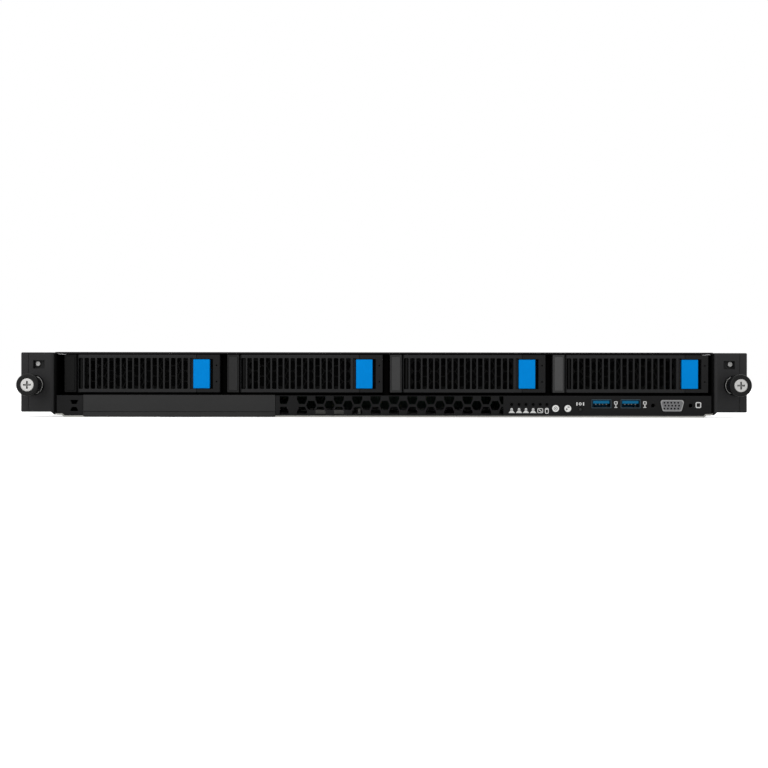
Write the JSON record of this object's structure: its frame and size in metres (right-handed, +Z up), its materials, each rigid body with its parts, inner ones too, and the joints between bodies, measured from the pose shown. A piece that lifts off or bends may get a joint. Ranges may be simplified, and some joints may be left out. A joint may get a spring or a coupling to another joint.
{
  "type": "1u rack server",
  "caption": "Rack-mounted server one unit high, with sliding front drive carriers, captive thumbscrew ears, a control panel and hot-swap power supplies.",
  "frame": {"origin": "on the underside, in the plane where the ears meet the rack's rails, midway between the ears", "axes": "+X to the right seen from the front, +Y into the rack, +Z up"},
  "size_m": [0.4826, 0.699, 0.0432],
  "materials": {
    "galvanised_steel": "bare galvanised sheet, satin",
    "black_cover": "black fine-texture paint",
    "black_ear": "dark grey-black fine-texture paint",
    "black_steel": "black paint, satin",
    "panel_black": "black moulded plastic, fine grain",
    "carrier_plastic": "dark grey moulded plastic, fine grain",
    "lever_plastic": "dark grey moulded plastic, fine grain",
    "latch_blue": "bright blue moulded plastic, semi-gloss",
    "knob_black": "black moulded plastic cap on a nickel screw",
    "collar_black": "black collar with a worn bright rim",
    "bright_steel": "nickel-plated steel",
    "drive_metal": "cast and machined aluminium",
    "board_green": "solder-masked circuit board",
    "board_black": "black solder-masked board with sockets",
    "fan_black": "black moulded plastic",
    "heatsink_metal": "bare aluminium fins",
    "duct_black": "thin black sheet plastic",
    "usb_metal": "nickel-plated shell with a blue tongue",
    "vga_metal": "nickel-plated shell with a grey insert",
    "light_clear": "smoked clear plastic, unlit",
    "button_white": "white moulded plastic",
    "button_black": "black moulded plastic",
    "psu_metal": "bare galvanised sheet",
    "psu_handle": "black moulded plastic",
    "psu_latch": "blue moulded plastic",
    "port_metal": "nickel-plated shells"
  },
  "bodies": {
    "chassis": {"base_tray": "galvanised_steel", "drive_cage": "black_steel", "front_top_cover": "black_cover", "cover_screws": "bright_steel", "left_ear": "black_ear", "right_ear": "black_ear", "left_ear_plate": "black_steel", "right_ear_plate": "black_steel", "ear_rivets": "bright_steel", "thumbscrew_collars": "collar_black", "front_panel": "panel_black", "disc_bay_blank": "panel_black", "control_board": "board_black", "indicator_light_pipes": "light_clear", "front_usb_sockets": "usb_metal", "front_vga_socket": "vga_metal", "drive_backplane": "board_green", "fan_cage": "galvanised_steel", "fan_frames": "fan_black", "motherboard": "board_green", "heatsink": "heatsink_metal", "memory_modules": "board_green", "air_duct": "duct_black", "rear_ports": "port_metal", "riser": "galvanised_steel", "slot_covers": "galvanised_steel"},
    "left_thumbscrew": {"left_thumbscrew": "knob_black"},
    "right_thumbscrew": {"right_thumbscrew": "knob_black"},
    "power_button": {"power_button": "button_white"},
    "identify_button": {"identify_button": "button_white"},
    "reset_button": {"reset_button": "button_black"},
    "rear_top_cover": {"rear_top_cover": "galvanised_steel"},
    "carrier_1": {"carrier_1_frame": "carrier_plastic", "carrier_1_drive": "drive_metal"},
    "lever_1": {"carrier_1_lever": "lever_plastic"},
    "latch_1": {"carrier_1_latch": "latch_blue"},
    "carrier_2": {"carrier_2_frame": "carrier_plastic", "carrier_2_drive": "drive_metal"},
    "lever_2": {"carrier_2_lever": "lever_plastic"},
    "latch_2": {"carrier_2_latch": "latch_blue"},
    "carrier_3": {"carrier_3_frame": "carrier_plastic", "carrier_3_drive": "drive_metal"},
    "lever_3": {"carrier_3_lever": "lever_plastic"},
    "latch_3": {"carrier_3_latch": "latch_blue"},
    "carrier_4": {"carrier_4_frame": "carrier_plastic", "carrier_4_drive": "drive_metal"},
    "lever_4": {"carrier_4_lever": "lever_plastic"},
    "latch_4": {"carrier_4_latch": "latch_blue"},
    "fan_rotor_1": {"fan_rotor_1": "fan_black"},
    "fan_rotor_2": {"fan_rotor_2": "fan_black"},
    "fan_rotor_3": {"fan_rotor_3": "fan_black"},
    "fan_rotor_4": {"fan_rotor_4": "fan_black"},
    "fan_rotor_5": {"fan_rotor_5": "fan_black"},
    "fan_rotor_6": {"fan_rotor_6": "fan_black"},
    "power_supply_1": {"power_supply_1_case": "psu_metal", "power_supply_1_handle": "psu_handle"},
    "power_supply_1_latch": {"power_supply_1_latch": "psu_latch"},
    "power_supply_2": {"power_supply_2_case": "psu_metal", "power_supply_2_handle": "psu_handle"},
    "power_supply_2_latch": {"power_supply_2_latch": "psu_latch"}
  },
  "joints": [
    {"name": "left_thumbscrew_turn", "type": "hinge", "parent": "chassis", "child": "left_thumbscrew", "pos_m": [-0.23255, 0, 0.0213], "axis": [0, 1, 0], "continuous": true},
    {"name": "right_thumbscrew_turn", "type": "hinge", "parent": "chassis", "child": "right_thumbscrew", "pos_m": [0.23255, 0, 0.0213], "axis": [0, 1, 0], "continuous": true},
    {"name": "power_button_press", "type": "slide", "parent": "chassis", "child": "power_button", "axis": [0, 1, 0], "range_m": [0, 0.001], "stiffness_N_per_m": 900},
    {"name": "identify_button_press", "type": "slide", "parent": "chassis", "child": "identify_button", "axis": [0, 1, 0], "range_m": [0, 0.001], "stiffness_N_per_m": 900},
    {"name": "reset_button_press", "type": "slide", "parent": "chassis", "child": "reset_button", "axis": [0, 1, 0], "range_m": [0, 0.001], "stiffness_N_per_m": 900},
    {"name": "carrier_1_slide", "type": "slide", "parent": "chassis", "child": "carrier_1", "axis": [0, -1, 0], "range_m": [0, 0.17]},
    {"name": "lever_1_swing", "type": "hinge", "parent": "carrier_1", "child": "lever_1", "pos_m": [-0.2014, -0.0024, 0.029], "axis": [0, 0, -1], "range_deg": [0, 60]},
    {"name": "latch_1_press", "type": "slide", "parent": "carrier_1", "child": "latch_1", "axis": [0, 1, 0], "range_m": [0, 0.0018], "stiffness_N_per_m": 900},
    {"name": "carrier_2_slide", "type": "slide", "parent": "chassis", "child": "carrier_2", "axis": [0, -1, 0], "range_m": [0, 0.17]},
    {"name": "lever_2_swing", "type": "hinge", "parent": "carrier_2", "child": "lever_2", "pos_m": [-0.0931, -0.0024, 0.029], "axis": [0, 0, -1], "range_deg": [0, 60]},
    {"name": "latch_2_press", "type": "slide", "parent": "carrier_2", "child": "latch_2", "axis": [0, 1, 0], "range_m": [0, 0.0018], "stiffness_N_per_m": 900},
    {"name": "carrier_3_slide", "type": "slide", "parent": "chassis", "child": "carrier_3", "axis": [0, -1, 0], "range_m": [0, 0.17]},
    {"name": "lever_3_swing", "type": "hinge", "parent": "carrier_3", "child": "lever_3", "pos_m": [0.0152, -0.0024, 0.029], "axis": [0, 0, -1], "range_deg": [0, 60]},
    {"name": "latch_3_press", "type": "slide", "parent": "carrier_3", "child": "latch_3", "axis": [0, 1, 0], "range_m": [0, 0.0018], "stiffness_N_per_m": 900},
    {"name": "carrier_4_slide", "type": "slide", "parent": "chassis", "child": "carrier_4", "axis": [0, -1, 0], "range_m": [0, 0.17]},
    {"name": "lever_4_swing", "type": "hinge", "parent": "carrier_4", "child": "lever_4", "pos_m": [0.1235, -0.0024, 0.029], "axis": [0, 0, -1], "range_deg": [0, 60]},
    {"name": "latch_4_press", "type": "slide", "parent": "carrier_4", "child": "latch_4", "axis": [0, 1, 0], "range_m": [0, 0.0018], "stiffness_N_per_m": 900},
    {"name": "fan_rotor_1_spin", "type": "hinge", "parent": "chassis", "child": "fan_rotor_1", "pos_m": [-0.17, 0.21, 0.0213], "axis": [0, 1, 0], "continuous": true},
    {"name": "fan_rotor_2_spin", "type": "hinge", "parent": "chassis", "child": "fan_rotor_2", "pos_m": [-0.102, 0.21, 0.0213], "axis": [0, 1, 0], "continuous": true},
    {"name": "fan_rotor_3_spin", "type": "hinge", "parent": "chassis", "child": "fan_rotor_3", "pos_m": [-0.034, 0.21, 0.0213], "axis": [0, 1, 0], "continuous": true},
    {"name": "fan_rotor_4_spin", "type": "hinge", "parent": "chassis", "child": "fan_rotor_4", "pos_m": [0.034, 0.21, 0.0213], "axis": [0, 1, 0], "continuous": true},
    {"name": "fan_rotor_5_spin", "type": "hinge", "parent": "chassis", "child": "fan_rotor_5", "pos_m": [0.102, 0.21, 0.0213], "axis": [0, 1, 0], "continuous": true},
    {"name": "fan_rotor_6_spin", "type": "hinge", "parent": "chassis", "child": "fan_rotor_6", "pos_m": [0.17, 0.21, 0.0213], "axis": [0, 1, 0], "continuous": true},
    {"name": "power_supply_1_slide", "type": "slide", "parent": "chassis", "child": "power_supply_1", "axis": [0, 1, 0], "range_m": [0, 0.18]},
    {"name": "power_supply_1_latch_press", "type": "slide", "parent": "power_supply_1", "child": "power_supply_1_latch", "axis": [-1, 0, 0], "range_m": [0, 0.0025], "stiffness_N_per_m": 900},
    {"name": "power_supply_2_slide", "type": "slide", "parent": "chassis", "child": "power_supply_2", "axis": [0, 1, 0], "range_m": [0, 0.18]},
    {"name": "power_supply_2_latch_press", "type": "slide", "parent": "power_supply_2", "child": "power_supply_2_latch", "axis": [-1, 0, 0], "range_m": [0, 0.0025], "stiffness_N_per_m": 900},
    {"name": "rear_cover_slide", "type": "slide", "parent": "chassis", "child": "rear_top_cover", "axis": [0, 1, 0], "range_m": [0, 0.012]}
  ]
}
